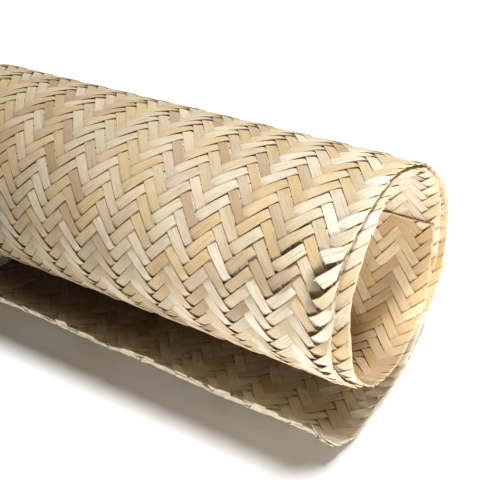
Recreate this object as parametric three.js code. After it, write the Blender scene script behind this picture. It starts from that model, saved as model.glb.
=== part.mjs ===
// Rolled bamboo wall mat, lying on a flat surface.
// One plaited bamboo sheet is wound about two and a half turns round a lengthwise axis.
// Its outer free edge comes out under the roll as a low flap, and its inner free edge
// ends part way up the far wall of the bore.
// Millimetres. X runs along the roll, +Y is the far side, +Z is up, and the roll rests on Z = 0.

import * as THREE from 'three';

// Sheet
const MAT_WIDTH = 300;
const SHEET_THICKNESS = 1.2;

// Roll centre above the surface, and its offsets from the middle of the footprint
const CENTRE_HEIGHT = 78.1;
const CENTRE_OFFSET_X = -3.3;
const CENTRE_OFFSET_Y = -5.3;

// Meshing steps
const TURN_STEP = 6;
const AXIAL_STEPS = 8;

// Winding path seen from the right-hand end.
// turn: degrees from the near side, through the bottom (90), far side (180) and top (270).
// radius: middle of the sheet from the roll centre. shift: how far the sheet's ends slide along X.
const WINDING = [
  { turn: 40, radius: 89.2, shift: -2.0 },
  { turn: 46, radius: 88.2, shift: -1.8 },
  { turn: 52, radius: 87.6, shift: -1.5 },
  { turn: 60, radius: 86.4, shift: -1.0 },
  { turn: 69, radius: 82.2, shift: -0.5 },
  { turn: 84, radius: 79.4, shift: 0.0 },
  { turn: 98, radius: 78.7, shift: 0.0 },
  { turn: 114, radius: 79.4, shift: 0.0 },
  { turn: 132, radius: 81.2, shift: 0.0 },
  { turn: 154, radius: 82.2, shift: 0.0 },
  { turn: 172, radius: 80.6, shift: 0.0 },
  { turn: 188, radius: 75.6, shift: 0.0 },
  { turn: 206, radius: 70.6, shift: 0.0 },
  { turn: 224, radius: 67.6, shift: 0.0 },
  { turn: 244, radius: 67.3, shift: 0.0 },
  { turn: 264, radius: 68.4, shift: 0.0 },
  { turn: 284, radius: 70.8, shift: 0.0 },
  { turn: 306, radius: 74.0, shift: 0.0 },
  { turn: 324, radius: 74.7, shift: 0.0 },
  { turn: 340, radius: 72.5, shift: 0.0 },
  { turn: 358, radius: 68.0, shift: 0.0 },
  { turn: 376, radius: 61.4, shift: 0.0 },
  { turn: 394, radius: 57.0, shift: 0.2 },
  { turn: 414, radius: 55.0, shift: 0.5 },
  { turn: 444, radius: 55.4, shift: 1.0 },
  { turn: 484, radius: 58.2, shift: 1.4 },
  { turn: 524, radius: 60.6, shift: 1.6 },
  { turn: 564, radius: 61.8, shift: 2.0 },
  { turn: 594, radius: 63.8, shift: 2.6 },
  { turn: 624, radius: 65.0, shift: 3.0 },
  { turn: 654, radius: 67.1, shift: 3.6 },
  { turn: 684, radius: 66.2, shift: 5.0 },
  { turn: 708, radius: 64.4, shift: 7.4 },
  { turn: 724, radius: 61.6, shift: 8.0 },
  { turn: 739, radius: 57.4, shift: 7.8 },
  { turn: 756, radius: 53.6, shift: 7.2 },
  { turn: 779, radius: 51.8, shift: 6.2 },
  { turn: 809, radius: 52.8, shift: 5.0 },
  { turn: 844, radius: 55.9, shift: 3.6 },
  { turn: 874, radius: 57.6, shift: 1.5 },
  { turn: 899, radius: 58.8, shift: -1.0 },
  { turn: 919, radius: 58.8, shift: -1.5 },
];

// Outer free edge of the flap, inner free edge, and the peeled corner at the right-hand end
const FLAP_EDGE_TURN = 46;
const INNER_EDGE_TURN = 905;
const CORNER_TURN = 4;
const CORNER_LENGTH = 16;

// Flap unevenness: it lifts a little more toward the left-hand end, and waves along its edge
const FLAP_ROOT_TURN = 70;
const RESTING_TURN = 124;
const FLAP_EXTRA_LIFT = 2.4;
const FLAP_WAVE = 0.7;
const FLAP_WAVE_LENGTH = 95;

// Ends of the sheet wave slightly along X where they were cut
const END_WAVE = 0.5;
const END_WAVE_TURN = 47;

const BAMBOO = new THREE.MeshStandardMaterial({
  name: 'bamboo',
  color: 0xd9bf92,
  roughness: 0.62,
  metalness: 0,
});

function smooth(t) {
  const c = Math.min(1, Math.max(0, t));
  return c * c * (3 - 2 * c);
}

// Smooth value of one column of the winding table at a given turn
function windingAt(turn, column) {
  const rows = WINDING;
  const last = rows.length - 1;
  let i = 0;
  while (i < last - 1 && rows[i + 1].turn < turn) {
    i += 1;
  }
  const slope = (k) => {
    const a = rows[Math.max(0, k - 1)];
    const b = rows[Math.min(last, k + 1)];
    return (b[column] - a[column]) / (b.turn - a.turn);
  };
  const p = rows[i];
  const q = rows[i + 1];
  const span = q.turn - p.turn;
  const t = (turn - p.turn) / span;
  const t2 = t * t;
  const t3 = t2 * t;
  return (
    (2 * t3 - 3 * t2 + 1) * p[column] +
    (t3 - 2 * t2 + t) * span * slope(i) +
    (3 * t2 - 2 * t3) * q[column] +
    (t3 - t2) * span * slope(i + 1)
  );
}

// Middle of the sheet at a turn and a place across the mat, from 0 at the left to 1 at the right
function sheetMiddle(turn, across) {
  const x = (across - 0.5) * MAT_WIDTH + CENTRE_OFFSET_X;
  const angle = THREE.MathUtils.degToRad(turn);
  const radius = windingAt(turn, 'radius');
  const y = CENTRE_OFFSET_Y - radius * Math.cos(angle);
  let z = CENTRE_HEIGHT - radius * Math.sin(angle);
  if (turn < RESTING_TURN) {
    const free = smooth((FLAP_ROOT_TURN - turn) / (FLAP_ROOT_TURN - FLAP_EDGE_TURN));
    const wave = FLAP_WAVE * Math.sin((2 * Math.PI * x) / FLAP_WAVE_LENGTH);
    z += free * (FLAP_EXTRA_LIFT * (1 - across) + wave);
    z = Math.max(z, SHEET_THICKNESS / 2);
  }
  const cut = across < 0.5 ? -1 : 1;
  const edge = smooth((Math.abs(across - 0.5) - 0.4) / 0.1);
  const jitter = cut * edge * END_WAVE * Math.sin((2 * Math.PI * turn) / END_WAVE_TURN);
  return new THREE.Vector3(x + windingAt(turn, 'shift') + jitter, y, z);
}

// Turn at which the sheet starts, for a place across the mat
function firstTurn(across) {
  const fromRight = (1 - across) * MAT_WIDTH;
  return FLAP_EDGE_TURN - CORNER_TURN * smooth(1 - fromRight / CORNER_LENGTH);
}

// Closed sheet of even thickness on both sides of the winding path
function windSheet() {
  const turnSteps = Math.round((INNER_EDGE_TURN - FLAP_EDGE_TURN) / TURN_STEP);
  const positions = [];
  const index = [];
  const columns = AXIAL_STEPS + 1;
  const across = [];
  for (let j = 0; j < columns; j += 1) {
    across.push(j / AXIAL_STEPS);
  }
  across.splice(columns - 1, 0, 1 - CORNER_LENGTH / MAT_WIDTH);

  for (let side = 0; side < 2; side += 1) {
    for (let i = 0; i <= turnSteps; i += 1) {
      for (const a of across) {
        const start = firstTurn(a);
        const turn = start + ((INNER_EDGE_TURN - start) * i) / turnSteps;
        const here = sheetMiddle(turn, a);
        const before = sheetMiddle(turn - 0.5, a);
        const after = sheetMiddle(turn + 0.5, a);
        const along = after.sub(before);
        const outward = new THREE.Vector3(0, -along.z, along.y).normalize();
        const offset = (side === 0 ? -0.5 : 0.5) * SHEET_THICKNESS;
        here.addScaledVector(outward, offset);
        positions.push(here.x, here.y, here.z);
      }
    }
  }

  const wide = across.length;
  const layer = wide * (turnSteps + 1);
  const quad = (a, b, c, d) => {
    index.push(a, c, b, a, d, c);
  };
  for (let i = 0; i < turnSteps; i += 1) {
    for (let j = 0; j < wide - 1; j += 1) {
      const a = i * wide + j;
      quad(a, a + 1, a + wide + 1, a + wide);
      quad(layer + a, layer + a + wide, layer + a + wide + 1, layer + a + 1);
    }
  }
  for (let i = 0; i < turnSteps; i += 1) {
    const left = i * wide;
    const right = left + wide - 1;
    quad(left, left + wide, layer + left + wide, layer + left);
    quad(right, layer + right, layer + right + wide, right + wide);
  }
  for (let j = 0; j < wide - 1; j += 1) {
    const far = turnSteps * wide + j;
    quad(j, layer + j, layer + j + 1, j + 1);
    quad(far, far + 1, layer + far + 1, layer + far);
  }

  const geometry = new THREE.BufferGeometry();
  geometry.setAttribute('position', new THREE.Float32BufferAttribute(positions, 3));
  geometry.setIndex(index);
  geometry.computeVertexNormals();
  return geometry;
}

const mat = new THREE.Mesh(windSheet(), BAMBOO);
mat.name = 'bamboo_mat';

const part = new THREE.Group();
part.name = 'rolled_bamboo_wall_mat';
part.add(mat);

export default part;
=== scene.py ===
"""Rolled bamboo wall mat: split bamboo strips plaited three over, three under, and rolled up on a pale floor."""

import math

import bmesh
import bpy
import numpy as np
from bpy.props import FloatProperty, FloatVectorProperty, IntProperty, PointerProperty
from mathutils import Matrix, Vector


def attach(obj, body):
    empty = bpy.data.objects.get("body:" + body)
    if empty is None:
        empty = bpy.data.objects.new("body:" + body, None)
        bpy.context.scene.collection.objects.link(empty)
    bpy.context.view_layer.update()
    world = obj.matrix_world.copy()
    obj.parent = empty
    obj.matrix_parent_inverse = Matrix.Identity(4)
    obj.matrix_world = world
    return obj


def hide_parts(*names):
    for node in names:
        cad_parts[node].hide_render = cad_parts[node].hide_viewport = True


bl_info = {
    "name": "Rolled bamboo mat",
    "version": (1, 0, 0),
    "blender": (4, 5, 0),
    "location": "3D View > Sidebar > Bamboo Mat",
    "description": "Plaits a bamboo strip mat, rolls it up and sets it on a pale studio floor",
    "category": "Add Mesh",
}

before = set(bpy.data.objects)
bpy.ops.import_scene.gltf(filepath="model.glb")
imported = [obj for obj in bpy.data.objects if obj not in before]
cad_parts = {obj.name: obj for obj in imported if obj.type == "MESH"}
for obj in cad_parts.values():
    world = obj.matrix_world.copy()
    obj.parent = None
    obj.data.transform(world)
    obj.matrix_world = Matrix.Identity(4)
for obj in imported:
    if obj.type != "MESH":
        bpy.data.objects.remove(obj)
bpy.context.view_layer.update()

MM = 0.001

# The wound section, as the part has it.
# turn is in degrees from the near side, down and round to the back. radius and shift are in millimetres.
# shift is how far that place of the sheet has slid towards the right-hand end.
WINDING = (
    # turn, radius, shift
    (40, 89.2, -2.0), (46, 88.2, -1.8), (52, 87.6, -1.5), (60, 86.4, -1.0), (69, 82.2, -0.5), (84, 79.4, 0.0),
    (98, 78.7, 0.0), (114, 79.4, 0.0), (132, 81.2, 0.0), (154, 82.2, 0.0), (172, 80.6, 0.0), (188, 75.6, 0.0),
    (206, 70.6, 0.0), (224, 67.6, 0.0), (244, 67.3, 0.0), (264, 68.4, 0.0), (284, 70.8, 0.0), (306, 74.0, 0.0),
    (324, 74.7, 0.0), (340, 72.5, 0.0), (358, 68.0, 0.0), (376, 61.4, 0.0), (394, 57.0, 0.2), (414, 55.0, 0.5),
    (444, 55.4, 1.0), (484, 58.2, 1.4), (524, 60.6, 1.6), (564, 61.8, 2.0), (594, 63.8, 2.6), (624, 65.0, 3.0),
    (654, 67.1, 3.6), (684, 66.2, 5.0), (708, 64.4, 7.4), (724, 61.6, 8.0), (739, 57.4, 7.8), (756, 53.6, 7.2),
    (779, 51.8, 6.2), (809, 52.8, 5.0), (844, 55.9, 3.6), (874, 57.6, 1.5), (899, 58.8, -1.0), (919, 58.8, -1.5),
)
# Where the roll's axis lies, then places and waves of the sheet. Turns are in degrees, the rest is in millimetres.
# The flap's right-hand corner reaches further by CORNER_TURN. Both ends of the roll wave over END_WAVE_REACH.
CENTRE_OFFSET_X = -3.3
CENTRE_OFFSET_Y = -5.3
CENTRE_HEIGHT = 78.1
FLAP_EDGE_TURN = 46
INNER_EDGE_TURN = 905
CORNER_TURN = 4
CORNER_LENGTH = 16
FLAP_ROOT_TURN = 70
RESTING_TURN = 124
FLAP_EXTRA_LIFT = 2.4
FLAP_WAVE = 0.7
FLAP_WAVE_LENGTH = 95
END_WAVE = 0.5
END_WAVE_TURN = 47
END_WAVE_REACH = 30.0
SHEET_THICKNESS = 1.2
MAT_WIDTH = 300.0
HALF_WIDTH = MAT_WIDTH / 2
# The section is worked out at this spacing, from a little before the flap's edge to a little past the inner edge,
# and its direction over this step to either side. All three are in degrees.
TURN_SPACING = 0.5
TURN_MARGIN = 6.0
DIRECTION_STEP = 0.4

# The plait, in millimetres on the flat mat: x towards the right-hand end, y from the flap's edge inwards.
# A crossing lies at PLAIT_START plus whole numbers of the two steps.
PLAIT_START = np.array((118.7, 0.3))
STEP_TO_NEXT_RISING = np.array((4.09, 4.99))
STEP_TO_NEXT_FALLING = np.array((-4.09, 4.55))
# Crossings in a repeat, and where in it the middle of each kind of float falls.
REPEAT = 6
RISING_FLOAT_MIDDLE = 1
FALLING_FLOAT_MIDDLE = 4
# Where a strip gets its cross cuts, in crossings, over half a repeat: close where it dives, wide on the float.
CUTS = (-0.75, -0.5, -0.25, 0.4, 1.0, 1.6)
# What a strip is longer by at each end before it is trimmed, and a little more at the flap's edge for its corner,
# in millimetres. How far its last cut may lie past that, in crossings. A strip with fewer crossings than the shortest
# is left out. Points this near to the flap's edge, in millimetres, say where a strip meets it.
SPARE_LENGTH = 8.0
FLAP_SPARE = 2.0
SPARE_CROSSINGS = 0.8
SHORTEST_STRIP = 0.2
NEAR_FLAP_EDGE = 12.0

# Parts of the mat, in millimetres along it. OUTSIDE is the part that shows on the top and the near side of the roll.
# In LOWER_NEAR_SIDE it passes from the top to the lower half.
OUTSIDE = (250.0, 520.0)
LOWER_NEAR_SIDE = (345.0, 405.0)
UPPER_WALL = (590.0, 720.0)
LOWER_WALL = 780.0
FLAP_END = 125.0
# The loose patch by the open end: its middle on the flat mat, and how far it reaches across and along.
LOOSE_PATCH = (146.0, 379.0, 75.0, 50.0)
# The spot of painted light just inside the open end, given in the same way.
PAINTED_LIGHT_SPOT = (135.0, 617.0, 16.0, 34.0)
# Gaps where two rising strips have drawn apart: place on the flat mat, half the length and the width.
GAPS = (
    (144.0, 368.3, 15.0, 5.6), (145.0, 376.8, 14.0, 4.8), (144.0, 384.5, 12.0, 3.0), (143.0, 394.0, 12.0, 2.6),
    (120.0, 364.0, 10.0, 1.2), (122.0, 384.0, 11.0, 1.5), (99.0, 376.0, 11.0, 1.2), (94.0, 388.0, 9.0, 1.0),
)
# A gap closes towards the cut end over this reach. The strips beside it move and lift by shares of its width.
GAP_CLOSING = 9.0
NEXT_STRIP_SHARE = 0.4
GAP_LIFT = 0.3
# The falling strips under a gap lie lower, and are painted darker: painted shade in the gap. GAP_SPREAD says how far
# round the gap, and the pair from which width on, and at which in full.
GAP_DEPTH = 0.9
GAP_PAINTED_SHADE = 0.9
GAP_SPREAD = 1.3
GAP_DEEP_FROM_TO = (1.0, 4.0)

# How a strip lies. Heights, widths and reaches are in millimetres, the rest are shares.
WIDTH_SPREAD = (0.9, 1.04)
BORDER_SPREAD = 0.45
FLAP_BORDER_SPREAD = (-1.1, 1.0)
LIFT_SPREAD = (-0.5, 1.0)
TIP_SPREAD = 0.35
FLOAT_BOW = 0.12
STRIP_CROWN = 0.08
# The plait closes up at the cut borders.
BORDER_CLOSING = 0.65
BORDER_REACH = 3.5
# Just inside the ends the strips lean and bow more, and their cut ends are thinner. The lean grows from the cut over
# END_LEAN_START and is gone at END_LEAN_REACH.
END_LEAN = 2.2
END_LEAN_INSIDE = 1.3
END_LEAN_REACH = 15.0
END_LEAN_START = 2.0
END_BOW = 0.3
END_BOW_REACH = 26.0
END_THINNING = 0.4
END_THIN_REACH = 2.0
# In the loose patch they lean and bow more too, and the lower edges of rising strips stand off.
LOOSE_LEAN = 0.7
LOOSE_BOW = 0.45
LOOSE_EDGE = 1.6
# The plait is flatter on the top of the roll and on the layers inside.
TOP_FLATTENING = 0.3
INNER_FLATTENING = 0.3
# On the lower near side falling strips ride higher, and the lower edges of rising strips and the lower ends of
# falling floats stand off.
CROSSWISE_RISE = 0.22
RISING_EDGE = 0.4
FALLING_EDGE = 0.45
# What differs from float to float: the share that all have, and how much of the float's own lift comes on top.
BOW_BY_LIFT = (0.6, 0.4)
RISING_EDGE_BY_LIFT = (0.75, 0.35)
FALLING_EDGE_BY_LIFT = (0.8, 0.4)
# The flap's raw edge curls over: length of the lip, radius of its curl, and how uneven it is.
LIP_LENGTH = 4.2
LIP_RADIUS = 3.6
LIP_CURL = 0.9
LIP_WAVE = 0.12
LIP_WAVE_LENGTH = 7.3
LIP_SPREAD = 0.2
# A strip's own wobble, and the ranges of its wave length and of its start in radians.
WOBBLE = 0.22
WOBBLE_LENGTHS = (14.0, 30.0)
WOBBLE_STARTS = (0.0, 6.28)
# In the flap and under the roll the strips are wider. The pair says where that starts and where it is full.
WIDER_UNDER_ROLL = 0.09
WIDER_FROM_TO = (250.0, 190.0)

# What makes a place paler than its strip: mostly painted light, standing in for light that falls there; the lip is
# partly its own paler raw edge, and the inner side is paler by the inner edge. A reach is a distance from the open
# end, or from the flap's edge. A pair says where a change starts and where it is full: from the open end for the upper
# wall, along the mat for the far.
# Falling strips are painted lighter low on the near side and darker on the top, rising strips the other way: painted
# light and shade.
STRIP_DIRECTION_PAINTED_LIGHT = 0.15
# Painted light towards the open end: on the outside, and on the flap and under the roll.
END_PAINTED_LIGHT = 0.5
END_PAINTED_LIGHT_REACH = 40.0
UNDER_END_PAINTED_LIGHT = 0.5
UNDER_END_PAINTED_LIGHT_REACH = 24.0
# A pool of painted light on the upper inner wall, strongest near the open end.
UPPER_WALL_PAINTED_LIGHT = 0.8
UPPER_WALL_FROM_TO = (71.5, 16.5)
FAR_WALL_PALENESS = 0.35
FAR_WALL_FROM_TO = (890.0, 930.0)
# Painted light low on the near side, towards the open end.
NEAR_SIDE_PAINTED_LIGHT = 0.3
NEAR_SIDE_PAINTED_LIGHT_REACH = 110.0
# The spot of painted light just inside the open end.
SPOT_PAINTED_LIGHT = 2.4
# The lip is paler, partly for its raw edge and partly as painted light.
LIP_PALENESS_AND_PAINTED_LIGHT = 0.2
# A band of painted light behind the flap's edge.
FLAP_EDGE_PAINTED_LIGHT = 1.0
FLAP_EDGE_PAINTED_LIGHT_REACH = 30.0
# Painted shade, which darkens a place: the outside towards the left end and most low down, the flap behind its edge
# and less to the right, and the lower wall by the open end. The flap's painted shade is lower where the open end's
# painted light is.
OUTSIDE_PAINTED_SHADE = 0.4
LOW_OUTSIDE_PAINTED_SHADE = 0.36
LOW_OUTSIDE_FROM_TO = (300.0, 380.0)
LEFT_FROM_TO = (115.0, -115.0)
FLAP_PAINTED_SHADE = 0.95
FLAP_PAINTED_SHADE_LOST_RIGHT = 0.65
FLAP_PAINTED_SHADE_LOST_AT_END = 0.5
FLAP_RIGHT_FROM_TO = (-60.0, 130.0)
FLAP_DARK_FROM_TO = (16.0, 38.0)
WALL_PAINTED_SHADE = 0.5
WALL_RIGHT_FROM_TO = (80.0, 150.0)
# How much less the upper wall, where its painted light falls, has of the tint of the inner side.
UPPER_WALL_UNTINTED = 0.7
SHARP_ANGLE = math.radians(38)

# Shader steps: where a change starts, where it is full, and how strong it is there.
GOLDEN_STRIPS = (0.62, 0.92, 0.62)
DARK_FIBRES = (0.52, 0.72, 0.55)
FINE_THREADS = (0.35, 0.75, 0.32)
# Painted shade along the strips' edges, where neighbours meet.
STRIP_EDGE_PAINTED_SHADE = (0.42, 0.5, 0.4)
ROSY_STRIPS = (0.05, 0.35)
ROSY_STRENGTH = 0.4
CUT_END_REACH = (0.0002, 0.0013)


# ---------------------------------------------------------------- sizes and colours a user would change


class BambooSheetSettings(bpy.types.PropertyGroup):
    strip_cover: FloatProperty(
        name="Strip cover", description="Share of its pitch that a strip fills", default=0.93, min=0.5, max=1.0
    )
    strip_thickness: FloatProperty(
        name="Strip thickness", description="Thickness of one split strip", default=0.00048, unit="LENGTH"
    )
    rise: FloatProperty(
        name="Rise", description="How far a strip rides above or below the middle of the mat", default=0.0005,
        unit="LENGTH",
    )
    dive: FloatProperty(
        name="Dive length", description="Crossings that a strip takes to pass from over to under", default=0.56,
        min=0.2, max=1.0,
    )
    twist: FloatProperty(
        name="Twist", description="Greatest lean of a strip beside a dive", default=math.radians(7.0), unit="ROTATION"
    )
    seed: IntProperty(name="Seed", description="Start of the random draws", default=11)


class BambooColourSettings(bpy.types.PropertyGroup):
    # The palest colour, which random tone and the painted light on the strips reach.
    palest_and_painted_light: FloatVectorProperty(
        name="Bleached strip", description="Colour of strips bleached by the light", subtype="COLOR",
        default=(0.90, 0.85, 0.72),
    )
    pale: FloatVectorProperty(
        name="Pale strip", description="Colour of the palest strips", subtype="COLOR", default=(0.71, 0.62, 0.465)
    )
    straw: FloatVectorProperty(
        name="Straw strip", description="Colour of most strips", subtype="COLOR", default=(0.60, 0.485, 0.305)
    )
    tan: FloatVectorProperty(
        name="Tan strip", description="Colour of the darkest strips", subtype="COLOR", default=(0.44, 0.32, 0.185)
    )
    # The colour that painted shade multiplies in.
    painted_shade_colour: FloatVectorProperty(
        name="Age tint", description="Tint of the parts darkened with age", subtype="COLOR",
        default=(0.36, 0.30, 0.24),
    )
    # The dark fibres' colour, also used for the painted shade along strip edges.
    streak_and_edge_shade: FloatVectorProperty(
        name="Fibre streak", description="Colour of the dark lengthwise fibres", subtype="COLOR",
        default=(0.35, 0.235, 0.12),
    )
    golden: FloatVectorProperty(
        name="Golden tint", description="Tint of the yellowest strips", subtype="COLOR", default=(0.62, 0.46, 0.22)
    )
    rosy: FloatVectorProperty(
        name="Rosy tint", description="Tint of the greyest strips", subtype="COLOR", default=(0.54, 0.44, 0.35)
    )
    inner_tint: FloatVectorProperty(
        name="Inner side", description="Tint of the side that faces into the roll", subtype="COLOR",
        default=(0.95, 0.86, 0.72),
    )
    cut_end: FloatVectorProperty(
        name="Cut end", description="Colour of freshly cut strip ends", subtype="COLOR", default=(0.76, 0.66, 0.49)
    )


class StudioSettings(bpy.types.PropertyGroup):
    floor: FloatVectorProperty(
        name="Floor", description="Colour of the floor", subtype="COLOR", default=(0.76, 0.76, 0.765)
    )
    overhead_strength: FloatProperty(
        name="Overhead light", description="Strength of the light above the roll", default=4.5
    )
    side_power: FloatProperty(
        name="Side light", description="Power of the soft panel in front of the open end", default=7.4, unit="POWER"
    )
    card_power: FloatProperty(
        name="Low card", description="Power of the small card on the floor beside the open end", default=0.5,
        unit="POWER",
    )
    back_power: FloatProperty(
        name="Back light", description="Power of the soft panel behind the roll", default=3.0, unit="POWER"
    )
    side_colour: FloatVectorProperty(
        name="Side colour", description="Colour of the side light and the card", subtype="COLOR",
        default=(1.0, 0.95, 0.86),
    )
    surround: FloatProperty(name="Surround", description="Strength of the cool surround", default=0.03)


# ---------------------------------------------------------------- shader maths


class Shade:
    """A socket of a material, with the arithmetic that adds Math nodes behind it."""

    def __init__(self, tree, socket):
        self.tree = tree
        self.socket = socket

    def _math(self, operation, *values):
        return node(self.tree, "ShaderNodeMath", {"operation": operation}, dict(enumerate(values)))

    def __add__(self, other):
        return self._math("ADD", self, other)

    __radd__ = __add__

    def __sub__(self, other):
        return self._math("SUBTRACT", self, other)

    def __rsub__(self, other):
        return self._math("SUBTRACT", other, self)

    def __mul__(self, other):
        return self._math("MULTIPLY", self, other)

    def fraction(self):
        return self._math("FRACT", self)

    def absolute(self):
        return self._math("ABSOLUTE", self)

    def between(self, low, high):
        """0 below low, 1 above high, smooth in between."""
        settings = {"interpolation_type": "SMOOTHSTEP"}
        return node(self.tree, "ShaderNodeMapRange", settings, {"Value": self, "From Min": low, "From Max": high})


def node(tree, kind, settings=None, values=None, output=0):
    """Adds a node: its settings first, then the values or links of its sockets. Returns one output."""
    made = tree.nodes.new(kind)
    for name, value in (settings or {}).items():
        if name == "stops":
            ramp = made.color_ramp
            while len(ramp.elements) < len(value):
                ramp.elements.new(1.0)
            for element, (place, colour) in zip(ramp.elements, value):
                element.position = place
                element.color = (*colour, 1.0)
        else:
            setattr(made, name, value)
    for name, value in (values or {}).items():
        socket = made.inputs[name]
        if isinstance(value, Shade):
            tree.links.new(value.socket, socket)
        else:
            socket.default_value = value
    return Shade(tree, made.outputs[output])


def blend_colours(tree, share, first, second, blend="MIX"):
    """The Mix node on colours: share 0 gives the first colour, 1 the second."""
    # Several of its sockets have the same name: 0 is the share, 6 and 7 the colours, and output 2 the mixed colour.
    mix = tree.nodes.new("ShaderNodeMix")
    mix.data_type = "RGBA"
    mix.blend_type = blend
    for socket, value in ((mix.inputs[0], share), (mix.inputs[6], first), (mix.inputs[7], second)):
        if isinstance(value, Shade):
            tree.links.new(value.socket, socket)
        elif hasattr(value, "__len__"):
            socket.default_value = (*value, 1.0)
        else:
            socket.default_value = value
    return Shade(tree, mix.outputs[2])


def split_bamboo():
    """Split bamboo: a tone for each strip with its painted light, lengthwise fibres, fine scratches, painted shade
    along the strip edges and over shaded places, and pale cut ends.
    """
    colours = bpy.context.scene.bamboo_colours
    material = bpy.data.materials.new("split_bamboo")
    material.use_nodes = True
    tree = material.node_tree
    bsdf = tree.nodes["Principled BSDF"]

    # fibre holds metres along the strip, -0.5 to 0.5 across it, and the strip's own number from 0 to 1.
    fibre = node(tree, "ShaderNodeAttribute", {"attribute_name": "fibre"}, output="Vector")
    split = tree.nodes.new("ShaderNodeSeparateXYZ")
    tree.links.new(fibre.socket, split.inputs[0])
    along, across, strip = (Shade(tree, split.outputs[k]) for k in range(3))

    def number(name):
        """A number that the points of the mesh carry."""
        return node(tree, "ShaderNodeAttribute", {"attribute_name": name}, output="Fac")

    def grain(per_metre, per_width, detail, shuffle):
        """Noise drawn out along the strip."""
        place = node(
            tree, "ShaderNodeCombineXYZ", None,
            {0: along * per_metre, 1: across * per_width + strip * shuffle, 2: strip * 91.0},
        )
        return node(tree, "ShaderNodeTexNoise", None, {"Vector": place, "Scale": 1.0, "Detail": detail})

    def tinged(below, source, low, high, strength, colour):
        """Blends in a colour, in full where source is above high."""
        return blend_colours(tree, source.between(low, high) * strength, below, colour)

    body = node(tree, "ShaderNodeTexCoord", output="Object")
    blotch = node(tree, "ShaderNodeTexNoise", None, {"Vector": body, "Scale": 28.0, "Detail": 2.0})
    slow = grain(22.0, 0.7, 2.0, 53.0)
    streaks = grain(60.0, 9.0, 3.0, 37.0)
    threads = grain(200.0, 18.0, 2.0, 71.0)

    # The strip's tone with its painted light, then what the strips differ by, then the fibres, the painted shade along
    # the strip edges, the cut ends, the inner side's tint and the painted shade.
    tone = strip * 1.05 - 0.02 + (slow - 0.5) * 0.6 + (blotch - 0.5) * 0.4 + number("paleness")
    stops = ((0.18, colours.tan), (0.42, colours.straw), (0.68, colours.pale), (1.0, colours.palest_and_painted_light))
    base = node(tree, "ShaderNodeValToRGB", {"stops": stops}, {"Fac": tone * 0.6 + 0.18})
    kind = (strip * 17.31).fraction()
    golden = tinged(base, kind, *GOLDEN_STRIPS, colours.golden)
    rosy = blend_colours(tree, (1.0 - kind.between(*ROSY_STRIPS)) * ROSY_STRENGTH, golden, colours.rosy)
    streaked = tinged(rosy, streaks, *DARK_FIBRES, colours.streak_and_edge_shade)
    threaded = tinged(streaked, threads, *FINE_THREADS, colours.streak_and_edge_shade)
    # Painted shade along the strips' edges.
    edge_painted_shade = tinged(threaded, across.absolute(), *STRIP_EDGE_PAINTED_SHADE, colours.streak_and_edge_shade)
    ends = blend_colours(tree, 1.0 - number("cut_distance").between(*CUT_END_REACH), edge_painted_shade, colours.cut_end)
    inward = blend_colours(tree, number("inner_side"), ends, colours.inner_tint, blend="MULTIPLY")
    # Painted shade, multiplied in where the mesh carries it.
    painted_shade_colour = blend_colours(tree, number("age"), inward, colours.painted_shade_colour, blend="MULTIPLY")
    tree.links.new(painted_shade_colour.socket, bsdf.inputs["Base Color"])

    roughness = 0.46 + threads * 0.2
    tree.links.new(roughness.socket, bsdf.inputs["Roughness"])
    height = streaks * 0.6 + threads * 0.4
    bump = node(tree, "ShaderNodeBump", None, {"Strength": 0.35, "Distance": 0.00012, "Height": height})
    tree.links.new(bump.socket, bsdf.inputs["Normal"])
    bsdf.inputs["Specular IOR Level"].default_value = 0.45
    return material


# ---------------------------------------------------------------- the wound sheet


def smooth(value):
    """0 up to 0, 1 from 1 onwards, smooth in between."""
    clipped = np.clip(value, 0.0, 1.0)
    return clipped * clipped * (3.0 - 2.0 * clipped)


def rises(value, start, full):
    """0 at start, 1 at full, smooth in between. full may be the smaller of the two."""
    return smooth((value - start) / (full - start))


def fades(distance, reach):
    """1 at no distance, 0 from the reach onwards."""
    return smooth(1 - distance / reach)


def winding_at(turn, column):
    """The table's value at a turn, along smooth cubic pieces."""
    last = len(WINDING) - 1
    i = max(k for k in range(last) if k == 0 or WINDING[k][0] < turn)

    def slope(k):
        before, after = WINDING[max(0, k - 1)], WINDING[min(last, k + 1)]
        return (after[column] - before[column]) / (after[0] - before[0])

    here, following = WINDING[i], WINDING[i + 1]
    span = following[0] - here[0]
    t = (turn - here[0]) / span
    return (
        (2 * t**3 - 3 * t**2 + 1) * here[column]
        + (t**3 - 2 * t**2 + t) * span * slope(i)
        + (3 * t**2 - 2 * t**3) * following[column]
        + (t**3 - t**2) * span * slope(i + 1)
    )


TURNS = np.arange(FLAP_EDGE_TURN - TURN_MARGIN, INNER_EDGE_TURN + TURN_MARGIN, TURN_SPACING)
RADII = np.array([winding_at(t, 1) for t in TURNS])
SHIFTS = np.array([winding_at(t, 2) for t in TURNS])


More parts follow.
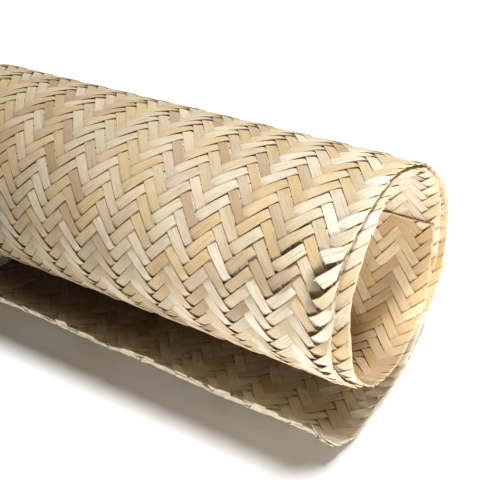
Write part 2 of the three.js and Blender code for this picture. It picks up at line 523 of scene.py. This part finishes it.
def sheet_middle(turn, x):
    """Middle of the sheet's thickness, in millimetres, at a turn and a place x across the flat mat."""
    angle = np.radians(turn)
    radius = np.interp(turn, TURNS, RADII)
    shift = np.interp(turn, TURNS, SHIFTS)
    across = x / MAT_WIDTH + 0.5
    y = CENTRE_OFFSET_Y - radius * np.cos(angle)
    z = CENTRE_HEIGHT - radius * np.sin(angle)
    free = rises(turn, FLAP_ROOT_TURN, FLAP_EDGE_TURN)
    place = x + CENTRE_OFFSET_X
    lift = free * (FLAP_EXTRA_LIFT * (1 - across) + FLAP_WAVE * np.sin(2 * np.pi * place / FLAP_WAVE_LENGTH))
    z = np.where(turn < RESTING_TURN, np.maximum(z + lift, SHEET_THICKNESS / 2), z)
    wave = END_WAVE * np.sin(2 * np.pi * turn / END_WAVE_TURN) * fades(HALF_WIDTH - np.abs(x), END_WAVE_REACH)
    return np.stack((place + shift + np.where(across >= 0.5, wave, -wave), y, z), axis=-1)


def arc_lengths():
    """Length along the sheet from the flap's edge, for each of TURNS."""
    middle = sheet_middle(TURNS, 0.0)
    steps = np.hypot(np.diff(middle[:, 1]), np.diff(middle[:, 2]))
    lengths = np.concatenate(((0.0,), np.cumsum(steps)))
    return lengths - np.interp(FLAP_EDGE_TURN, TURNS, lengths)


LENGTHS = arc_lengths()
MAT_LENGTH = float(np.interp(INNER_EDGE_TURN, TURNS, LENGTHS))


def wound(flat):
    """Carries points of the flat mat (x, y along it, height) onto the roll. Millimetres in, metres out."""
    x, y, height = flat.T
    turn = np.interp(y, LENGTHS, TURNS)
    run = sheet_middle(turn + DIRECTION_STEP, x) - sheet_middle(turn - DIRECTION_STEP, x)
    outward = np.stack((np.zeros_like(x), run[:, 2], -run[:, 1]), axis=-1)
    outward /= np.linalg.norm(outward, axis=1)[:, None]
    return (sheet_middle(turn, x) + outward * height[:, None]) * MM


def flap_edge_at(x):
    """Where the sheet starts, along its length, at a place across it: the right-hand corner reaches further."""
    turn = FLAP_EDGE_TURN - CORNER_TURN * fades(HALF_WIDTH - x, CORNER_LENGTH)
    return np.interp(turn, TURNS, LENGTHS)


# ---------------------------------------------------------------- the strips


class Strips:
    """All strips that run one way across the mat."""

    def __init__(self, name, step_between, step_along, sign, float_middle):
        self.name = name
        self.step_between = step_between
        self.step_along = step_along
        self.sign = sign
        self.float_middle = float_middle
        self.step = np.linalg.norm(step_along)
        self.pitch = abs(np.cross(step_between, step_along)) / self.step
        self.direction = step_along / self.step
        self.side = np.array((-self.direction[1], self.direction[0]))
        if self.side @ step_between < 0:
            self.side = -self.side

    def numbers(self):
        """The numbers of the strips that touch the mat."""
        corners = [np.array((x, y)) - PLAIT_START for x in (-HALF_WIDTH, HALF_WIDTH) for y in (0.0, MAT_LENGTH)]
        places = [(corner @ self.side) / self.pitch for corner in corners]
        return range(math.floor(min(places)), math.ceil(max(places)) + 1)

    def start(self, number):
        """The place on the flat mat from which a strip's crossings are counted."""
        return PLAIT_START + number * self.step_between


RISING = Strips("rising", STEP_TO_NEXT_RISING, STEP_TO_NEXT_FALLING, 1, RISING_FLOAT_MIDDLE)
FALLING = Strips("falling", STEP_TO_NEXT_FALLING, STEP_TO_NEXT_RISING, -1, FALLING_FLOAT_MIDDLE)


def cut_places(first, last):
    """Cross cuts in crossings, from before first to after last. CUTS repeats every half repeat."""
    half = REPEAT / 2
    low = math.floor((first - 1) / half)
    high = math.ceil((last + 1) / half)
    return np.array([k * half + cut for k in range(low, high + 1) for cut in CUTS])


def strip_cuts(strips, number):
    """Cross cuts of one strip, in crossings from its start, or None if the strip misses the mat."""
    start = strips.start(number)
    crossed = []
    for axis, low, high in ((0, -HALF_WIDTH, HALF_WIDTH), (1, -FLAP_SPARE, MAT_LENGTH)):
        crossed.append(sorted((edge - start[axis]) / strips.step_along[axis] for edge in (low, high)))
    first = max(ends[0] for ends in crossed) - SPARE_LENGTH / strips.step
    last = min(ends[1] for ends in crossed) + SPARE_LENGTH / strips.step
    if last - first < SHORTEST_STRIP:
        return None

    # The cuts lie closest at this strip's dives. Along a rising strip the repeat runs backwards.
    offset = number - strips.sign * (strips.float_middle - 1)
    ends = sorted(strips.sign * (offset - place) for place in (first, last))
    cuts = np.sort(offset - strips.sign * cut_places(*ends))
    return cuts[(cuts > first - SPARE_CROSSINGS) & (cuts < last + SPARE_CROSSINGS)]


def trim_to_mat(bm, random):
    """Cuts a flat strip off at the mat's four borders, a little long or short at each."""
    flap_side = (0.0, -1.0, 0.0)
    borders = (
        ((-1.0, 0.0, 0.0), HALF_WIDTH), ((1.0, 0.0, 0.0), HALF_WIDTH), (flap_side, 0.0), ((0.0, 1.0, 0.0), MAT_LENGTH)
    )
    for outward, reach in borders:
        longer = random.uniform(-BORDER_SPREAD, BORDER_SPREAD)
        if outward == flap_side:
            near = [v.co.x for v in bm.verts if abs(v.co.y) < NEAR_FLAP_EDGE]
            reach = -flap_edge_at(sum(near) / len(near)) if near else 0.0
            longer = random.uniform(*FLAP_BORDER_SPREAD)
        geometry = bm.verts[:] + bm.edges[:] + bm.faces[:]
        if geometry:
            place = Vector(outward) * float(reach + longer)
            bmesh.ops.bisect_plane(
                bm, geom=geometry, dist=1e-5, plane_co=place, plane_no=Vector(outward), clear_outer=True
            )


def plait_strip(strips, number, settings, random):
    """One strip as a closed ribbon on the flat mat, cut off at the mat's borders. Returns a mesh, or None."""
    cuts = strip_cuts(strips, number)
    if cuts is None:
        return None
    width = strips.pitch * settings.strip_cover * random.uniform(*WIDTH_SPREAD)
    count = len(cuts) - 1
    bm = bmesh.new()
    bmesh.ops.create_grid(bm, x_segments=count, y_segments=2, size=0.5)
    for v in bm.verts:
        v.co = Vector((cuts[round((v.co.x + 0.5) * count)] * strips.step, v.co.y * width, 0.0))
    turned = Matrix.Rotation(math.atan2(strips.direction[1], strips.direction[0]), 4, "Z")
    bm.transform(Matrix.Translation((*strips.start(number), 0.0)) @ turned)
    trim_to_mat(bm, random)
    if not bm.faces:
        bm.free()
        return None
    bmesh.ops.solidify(bm, geom=bm.faces[:], thickness=settings.strip_thickness / MM)
    bmesh.ops.recalc_face_normals(bm, faces=bm.faces[:])
    mesh = bpy.data.meshes.new("strip")
    bm.to_mesh(mesh)
    bm.free()
    return mesh


def nearness(x, y, patch):
    """1 in the middle of an oval patch of the flat mat, 0 outside it."""
    return smooth(1 - np.hypot((x - patch[0]) / patch[2], (y - patch[1]) / patch[3]))


class StripPoints:
    """The points of one flat strip: where each lies in the mat and in the repeat, and how its float stands."""

    def __init__(self, points, strips, number, settings, random):
        self.x, self.y = points[:, 0], points[:, 1]
        away = points[:, :2] - strips.start(number)
        self.along = away @ strips.direction
        self.across = away @ strips.side
        self.share_across = self.across / (strips.pitch * settings.strip_cover)
        self.through = points[:, 2] - (points[:, 2].max() + points[:, 2].min()) / 2
        self.inward_side = self.through < 0

        # Place in the repeat, from the middle of an upper float: the rising strip's number less the falling one's.
        phase = strips.sign * (number - self.along / strips.step) - strips.float_middle
        self.from_middle = np.mod(phase + REPEAT / 2, REPEAT) - REPEAT / 2
        self.over = 1 - 2 * smooth((np.abs(self.from_middle) - REPEAT / 4) / settings.dive + 0.5)
        self.on_top = np.clip(self.over, 0.0, 1.0)
        self.lean = strips.sign * np.sin(2 * np.pi * self.from_middle / REPEAT) / math.sin(math.pi / 3)
        from_float = np.abs(np.abs(self.from_middle) - REPEAT / 2 * (self.over < 0))
        self.bowed = np.maximum(0.0, 1 - (from_float / (REPEAT / 4)) ** 2)

        # Each float stands a little differently.
        floats, index = np.unique(np.floor((phase + REPEAT / 4) / (REPEAT / 2)).astype(int), return_inverse=True)
        self.lift = random.uniform(*LIFT_SPREAD, len(floats))[index]
        self.tip = random.normal(0.0, TIP_SPREAD, len(floats))[index]

        self.from_open_end = HALF_WIDTH - self.x
        self.from_end = HALF_WIDTH - np.abs(self.x)
        self.from_flap = self.y - flap_edge_at(self.x)
        self.from_border = np.minimum(self.from_end, self.from_flap)
        self.loose = nearness(self.x, self.y, LOOSE_PATCH)

        # lower is -1 on the top of the roll, 1 low on its near side and 0 on the layers inside.
        self.outside = (self.y > OUTSIDE[0]) & (self.y < OUTSIDE[1])
        self.lower = np.where(self.outside, 2 * rises(self.y, *LOWER_NEAR_SIDE) - 1, 0.0)
        self.lower_only = np.maximum(self.lower, 0.0)

    def by_lift(self, share, change):
        """A share that differs from float to float."""
        return share + change * self.lift


def gap_line(gap_x, gap_y):
    """Number of the line between two rising strips along which a gap opens: a whole number and a half."""
    place = np.array((gap_x, gap_y)) - PLAIT_START
    return math.floor(place @ RISING.side / RISING.pitch) + 0.5


def beside_gaps(at, number):
    """How far a rising strip is pushed aside by the gaps, and how far its edges beside them lift."""
    aside = np.zeros_like(at.along)
    lifted = np.zeros_like(at.along)
    for gap_x, gap_y, half_length, width in GAPS:
        apart = number - gap_line(gap_x, gap_y)
        share = {0.5: 1.0, 1.5: NEXT_STRIP_SHARE}.get(abs(apart), 0.0)
        here = at.along + (RISING.start(number) - (gap_x, gap_y)) @ RISING.direction
        opened = width * share * np.clip(1 - (here / half_length) ** 2, 0.0, 1.0) * smooth(at.from_end / GAP_CLOSING)
        away = math.copysign(1.0, apart)
        aside += 0.5 * away * opened
        lifted += GAP_LIFT * opened * np.clip(0.5 - away * at.share_across, 0.0, 1.0)
    return aside, lifted


def under_gaps(at):
    """1 under the middle of a wide gap, less under a narrow one, 0 away from all of them."""
    most = np.zeros_like(at.along)
    places = np.stack((at.x, at.y), axis=-1)
    narrow, wide = GAP_DEEP_FROM_TO
    for gap_x, gap_y, half_length, width in GAPS:
        here = (places - (gap_x, gap_y)) @ RISING.direction / half_length
        beside = ((places - PLAIT_START) @ RISING.side - gap_line(gap_x, gap_y) * RISING.pitch) / width
        deep = min(1.0, (width - narrow) / (wide - narrow))
        most = np.maximum(most, deep * smooth(GAP_SPREAD - here**2 - beside**2))
    return most


def strip_height(at, strips, settings):
    """Height of the strip's middle over the middle of the mat, without what the gaps and the lip add."""
    inner = at.y > OUTSIDE[1]
    relief = 1 + TOP_FLATTENING * np.minimum(at.lower, 0.0) - INNER_FLATTENING * inner
    closed = 1 - BORDER_CLOSING * fades(at.from_border, BORDER_REACH)
    height = at.over * settings.rise / MM * (1 + FLOAT_BOW * at.bowed * (1 + at.lift)) * closed * relief

    end_lean = np.where(inner, END_LEAN_INSIDE, END_LEAN)
    end_lean = end_lean * fades(at.from_end, END_LEAN_REACH) * smooth(at.from_end / END_LEAN_START)
    lean_gain = 1 + end_lean + LOOSE_LEAN * at.loose
    height += at.across * math.tan(settings.twist) * (at.lean + at.tip * at.bowed) * lean_gain * relief
    height += STRIP_CROWN * (1 - (2 * at.share_across) ** 2) * np.sign(at.over)
    bow = END_BOW * fades(at.from_end, END_BOW_REACH) + LOOSE_BOW * at.loose
    height += bow * at.bowed * np.sign(at.over) * at.by_lift(*BOW_BY_LIFT)

    height -= strips.sign * CROSSWISE_RISE * at.lower * at.bowed * at.on_top
    if strips.sign > 0:
        lower_edge = np.clip(0.5 + at.share_across, 0.0, 1.0)
        stands_off = RISING_EDGE * at.lower_only + LOOSE_EDGE * at.loose
        height += lower_edge * at.bowed * at.on_top * stands_off * at.by_lift(*RISING_EDGE_BY_LIFT)
    else:
        lower_end = smooth(0.5 + at.from_middle / (REPEAT / 2))
        height += FALLING_EDGE * at.lower_only * at.on_top * lower_end * at.by_lift(*FALLING_EDGE_BY_LIFT)
    return height


def lip_curl(at, random):
    """How far the flap's raw edge has curled up, raggedly."""
    ragged = LIP_CURL + LIP_WAVE * np.sin(at.x / LIP_WAVE_LENGTH) + random.uniform(-LIP_SPREAD, LIP_SPREAD)
    return np.maximum(0.0, LIP_LENGTH - at.from_flap) ** 2 / (2 * LIP_RADIUS) * ragged


def write_attribute(mesh, name, values):
    """Stores one number, or one vector, for each point of a mesh."""
    kind, field = ("FLOAT_VECTOR", "vector") if values.ndim == 2 else ("FLOAT", "value")
    layer = mesh.attributes.new(name, kind, "POINT")
    layer.data.foreach_set(field, values.astype(np.float32).ravel())


def paint_strip(mesh, at, strips, under, random):
    """Writes what the bamboo material reads: the fibres, the painted light and paleness, the painted shade, and how
    tinted each place is.
    """
    tone = random.uniform(0.0, 1.0)
    fibre = np.stack((at.along * MM, at.share_across, np.full_like(at.along, tone)), axis=-1)
    write_attribute(mesh, "fibre", fibre)
    # Painted light on the upper inner wall, strongest near the open end, and a spot of painted light just inside it.
    upper_wall = at.inward_side & (at.y > UPPER_WALL[0]) & (at.y < UPPER_WALL[1])
    painted_light_wall = upper_wall * rises(at.from_open_end, *UPPER_WALL_FROM_TO)
    spot = nearness(at.x, at.y, PAINTED_LIGHT_SPOT) * at.inward_side
    # Painted light towards the open end.
    near_end = fades(at.from_open_end, END_PAINTED_LIGHT_REACH)

    # Painted light on the flap and under the roll towards the open end.
    under_end = (at.y < OUTSIDE[0]) * fades(at.from_open_end, UNDER_END_PAINTED_LIGHT_REACH)
    inward = UPPER_WALL_PAINTED_LIGHT * painted_light_wall + UNDER_END_PAINTED_LIGHT * under_end
    # Painted light near the open end on the outside. Falling strips are painted lighter low on the near side and
    # darker on the top, rising strips the other way: painted light and shade.
    paleness = np.where(at.inward_side, inward, END_PAINTED_LIGHT * near_end) - strips.sign * STRIP_DIRECTION_PAINTED_LIGHT * at.lower
    # The inner side is paler towards the inner edge; then the spot of painted light.
    paleness += FAR_WALL_PALENESS * rises(at.y, *FAR_WALL_FROM_TO) * at.inward_side + SPOT_PAINTED_LIGHT * spot
    # Painted light low on the near side, towards the open end.
    paleness += NEAR_SIDE_PAINTED_LIGHT * at.lower_only * fades(at.from_open_end, NEAR_SIDE_PAINTED_LIGHT_REACH)
    # The lip is paler, partly for its raw edge and partly as painted light.
    paleness += LIP_PALENESS_AND_PAINTED_LIGHT * fades(at.from_flap, LIP_LENGTH)
    # A band of painted light behind the flap's edge.
    paleness += FLAP_EDGE_PAINTED_LIGHT * fades(at.from_flap, FLAP_EDGE_PAINTED_LIGHT_REACH)
    write_attribute(mesh, "paleness", paleness)

    # Painted shade on the outside, towards the left end and most low down.
    age = (OUTSIDE_PAINTED_SHADE + LOW_OUTSIDE_PAINTED_SHADE * rises(at.y, *LOW_OUTSIDE_FROM_TO)) * rises(at.x, *LEFT_FROM_TO) * at.outside
    # Painted shade on the flap under the roll, less to the right and by the open end.
    in_flap = rises(at.from_flap, *FLAP_DARK_FROM_TO) * (at.y < FLAP_END) * at.inward_side
    flap_painted_shade = FLAP_PAINTED_SHADE - FLAP_PAINTED_SHADE_LOST_RIGHT * rises(at.x, *FLAP_RIGHT_FROM_TO)
    age += in_flap * flap_painted_shade * (1 - FLAP_PAINTED_SHADE_LOST_AT_END * near_end)
    # Painted shade on the lower wall by the open end.
    low_wall = (1 - rises(at.y, *FAR_WALL_FROM_TO)) * (at.y > LOWER_WALL) * at.inward_side
    # Painted shade on the falling strips under the gaps.
    age += WALL_PAINTED_SHADE * rises(at.x, *WALL_RIGHT_FROM_TO) * low_wall + GAP_PAINTED_SHADE * under
    write_attribute(mesh, "age", age)

    # The upper wall's painted light and the spot of painted light lose the inner side's tint.
    tinted = at.inward_side * (at.y > FLAP_END) * (1 - UPPER_WALL_UNTINTED * painted_light_wall) * (1 - spot)
    write_attribute(mesh, "inner_side", tinted)
    from_cut = np.minimum(at.from_border, MAT_LENGTH - at.y)
    write_attribute(mesh, "cut_distance", np.maximum(from_cut, 0.0) * MM)


def shape_strip(mesh, strips, number, settings, random):
    """Gives a flat ribbon its overs and unders, its lean and its own wobble, lays it on the roll and paints it."""
    points = np.empty(len(mesh.vertices) * 3, np.float32)
    mesh.vertices.foreach_get("co", points)
    at = StripPoints(points.reshape(-1, 3).astype(float), strips, number, settings, random)
    aside = lifted = under = np.zeros_like(at.along)
    if strips is RISING:
        aside, lifted = beside_gaps(at, number)
    else:
        under = under_gaps(at)
    height = strip_height(at, strips, settings) + lifted * at.on_top - GAP_DEPTH * under - lip_curl(at, random)
    height += at.through * (1 - END_THINNING * fades(at.from_end, END_THIN_REACH))
    wobble = WOBBLE * np.sin(at.along / random.uniform(*WOBBLE_LENGTHS) + random.uniform(*WOBBLE_STARTS))
    wobble += aside + WIDER_UNDER_ROLL * at.across * rises(at.y, *WIDER_FROM_TO)
    flat = np.stack((at.x + strips.side[0] * wobble, at.y + strips.side[1] * wobble, height), axis=-1)
    placed = wound(flat)
    placed[:, 2] = np.maximum(placed[:, 2], 0.0)
    mesh.vertices.foreach_set("co", placed.astype(np.float32).ravel())
    paint_strip(mesh, at, strips, under, random)


def lay_strips(strips):
    """All strips of one direction, in two pieces: the outer half of the mat's length and the inner half."""
    settings = bpy.context.scene.bamboo_sheet
    bamboo = bpy.data.materials.get("split_bamboo") or split_bamboo()
    random = np.random.default_rng(settings.seed + strips.float_middle)
    halves = {"outer": bmesh.new(), "inner": bmesh.new()}
    for number in strips.numbers():
        mesh = plait_strip(strips, number, settings, random)
        if mesh is None:
            continue
        shape_strip(mesh, strips, number, settings, random)

        # A strip belongs to the half of the mat in which it passes the middle of the mat's width.
        start_x, start_y = strips.start(number)
        place = start_y - start_x * strips.step_along[1] / strips.step_along[0]
        halves["outer" if place < MAT_LENGTH / 2 else "inner"].from_mesh(mesh)
        bpy.data.meshes.remove(mesh)
    for half, bm in halves.items():
        name = f"{strips.name}_strips_{half}"
        mesh = bpy.data.meshes.new(name)
        bm.to_mesh(mesh)
        bm.free()
        mesh.shade_smooth()
        mesh.set_sharp_from_angle(angle=SHARP_ANGLE)
        mesh.materials.append(bamboo)
        piece = bpy.data.objects.new(name, mesh)
        bpy.context.scene.collection.objects.link(piece)
        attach(piece, "root")
        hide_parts("bamboo_mat")


class MAT_OT_rising_strips(bpy.types.Operator):
    """Lays the strips that rise to the right on the roll's near side"""

    bl_idname = "bamboo_mat.rising_strips"
    bl_label = "Rising strips"

    def execute(self, context):
        lay_strips(RISING)
        return {"FINISHED"}


class MAT_OT_falling_strips(bpy.types.Operator):
    """Lays the strips that fall to the right on the roll's near side"""

    bl_idname = "bamboo_mat.falling_strips"
    bl_label = "Falling strips"

    def execute(self, context):
        lay_strips(FALLING)
        return {"FINISHED"}


# ---------------------------------------------------------------- floor, lights and camera

# Place in metres, angles in degrees, lens and sensor in millimetres, nearest sight in metres.
CAMERA_PLACE = (0.291119, -0.342216, 0.357685)
CAMERA_AZIMUTH = 34.828
CAMERA_ELEVATION = 34.756
CAMERA_ROLL = -3.943
CAMERA_LENS = 61.56
CAMERA_SENSOR = 36.0
CAMERA_NEAR = 0.01
SUN_SOURCE = (0.16, 0.12, 1.0)
SUN_ANGLE = math.radians(12.0)
# Soft lights: place, the point they face, and size, in metres.
SIDE_PANEL = ((0.75, -0.75, 0.07), (0.05, -0.02, 0.07), 0.12)
LOW_CARD = ((0.37, -0.08, 0.02), (0.13, 0.05, 0.11), 0.1)
BACK_PANEL = ((0.55, 0.80, 0.60), (0.0, 0.0, 0.1), 0.8)
NEUTRAL = (1.0, 1.0, 1.0)
SKY_COLOUR = (0.72, 0.84, 1.0)
FLOOR_HALF_SIZE = 6.0
FLOOR_ROUGHNESS = 0.9
FLOOR_SHINE = 0.1


def soft_light(name, place, target, size, power, colour=NEUTRAL):
    """A round soft panel that faces a point."""
    lamp = bpy.data.lights.new(name, "AREA")
    lamp.shape = "DISK"
    lamp.size = size
    lamp.energy = power
    lamp.color = colour
    light = bpy.data.objects.new(name, lamp)
    light.location = place
    light.rotation_euler = (Vector(target) - Vector(place)).to_track_quat("-Z", "Y").to_euler()
    bpy.context.scene.collection.objects.link(light)


def overhead_light(strength):
    """The broad light from above."""
    lamp = bpy.data.lights.new("overhead", "SUN")
    lamp.angle = SUN_ANGLE
    lamp.energy = strength
    light = bpy.data.objects.new("overhead", lamp)
    light.rotation_euler = Vector(SUN_SOURCE).to_track_quat("Z", "Y").to_euler()
    bpy.context.scene.collection.objects.link(light)


def surround_light(strength):
    """The faint cool light from all round."""
    world = bpy.data.worlds.new("surround")
    world.use_nodes = True
    background = world.node_tree.nodes["Background"]
    background.inputs["Color"].default_value = (*SKY_COLOUR, 1.0)
    background.inputs["Strength"].default_value = strength
    bpy.context.scene.world = world


def pale_floor(colour):
    """The wide matt floor."""
    bm = bmesh.new()
    bmesh.ops.create_grid(bm, x_segments=1, y_segments=1, size=FLOOR_HALF_SIZE)
    mesh = bpy.data.meshes.new("floor")
    bm.to_mesh(mesh)
    bm.free()
    floor = bpy.data.objects.new("floor", mesh)
    bpy.context.scene.collection.objects.link(floor)
    material = bpy.data.materials.new("pale_floor")
    material.use_nodes = True
    bsdf = material.node_tree.nodes["Principled BSDF"]
    bsdf.inputs["Base Color"].default_value = (*colour, 1.0)
    bsdf.inputs["Roughness"].default_value = FLOOR_ROUGHNESS
    bsdf.inputs["Specular IOR Level"].default_value = FLOOR_SHINE
    mesh.materials.append(material)


def photo_camera():
    """The camera, where the photo's stood."""
    lens = bpy.data.cameras.new("camera")
    lens.lens = CAMERA_LENS
    lens.sensor_width = CAMERA_SENSOR
    lens.clip_start = CAMERA_NEAR
    camera = bpy.data.objects.new("camera", lens)
    azimuth, elevation = math.radians(CAMERA_AZIMUTH), math.radians(CAMERA_ELEVATION)
    forward = Vector((
        -math.sin(azimuth) * math.cos(elevation), math.cos(azimuth) * math.cos(elevation), -math.sin(elevation)
    ))
    rolled = Matrix.Rotation(math.radians(CAMERA_ROLL), 4, "Z")
    turned = forward.to_track_quat("-Z", "Y").to_matrix().to_4x4() @ rolled
    camera.matrix_world = Matrix.Translation(CAMERA_PLACE) @ turned
    bpy.context.scene.collection.objects.link(camera)
    bpy.context.scene.camera = camera


class MAT_OT_stage(bpy.types.Operator):
    """Sets up the pale floor, the soft lights and the camera"""

    bl_idname = "bamboo_mat.stage"
    bl_label = "Floor, lights and camera"

    def execute(self, context):
        studio = context.scene.bamboo_studio
        pale_floor(studio.floor)
        overhead_light(studio.overhead_strength)
        soft_light("side_panel", *SIDE_PANEL, studio.side_power, studio.side_colour)
        soft_light("low_card", *LOW_CARD, studio.card_power, studio.side_colour)
        soft_light("back_panel", *BACK_PANEL, studio.back_power)
        surround_light(studio.surround)
        context.scene.view_settings.view_transform = "Standard"
        photo_camera()
        return {"FINISHED"}


class MAT_PT_panel(bpy.types.Panel):
    """The mat's sizes and colours, and a button for each of its pieces"""

    bl_idname = "MAT_PT_panel"
    bl_label = "Rolled bamboo mat"
    bl_space_type = "VIEW_3D"
    bl_region_type = "UI"
    bl_category = "Bamboo Mat"

    def draw(self, context):
        for settings in ("bamboo_sheet", "bamboo_colours", "bamboo_studio"):
            group = getattr(context.scene, settings)
            for name in group.__annotations__:
                self.layout.prop(group, name)
        for operator in OPERATORS:
            self.layout.operator(operator.bl_idname)


OPERATORS = (MAT_OT_rising_strips, MAT_OT_falling_strips, MAT_OT_stage)
CLASSES = (BambooSheetSettings, BambooColourSettings, StudioSettings, *OPERATORS, MAT_PT_panel)


def register():
    for made in CLASSES:
        bpy.utils.register_class(made)
    bpy.types.Scene.bamboo_sheet = PointerProperty(type=BambooSheetSettings)
    bpy.types.Scene.bamboo_colours = PointerProperty(type=BambooColourSettings)
    bpy.types.Scene.bamboo_studio = PointerProperty(type=StudioSettings)


def unregister():
    del bpy.types.Scene.bamboo_studio
    del bpy.types.Scene.bamboo_colours
    del bpy.types.Scene.bamboo_sheet
    for made in reversed(CLASSES):
        bpy.utils.unregister_class(made)


def main():
    register()
    bpy.ops.bamboo_mat.rising_strips()
    bpy.ops.bamboo_mat.falling_strips()
    bpy.ops.bamboo_mat.stage()


if __name__ == "__main__":
    main()
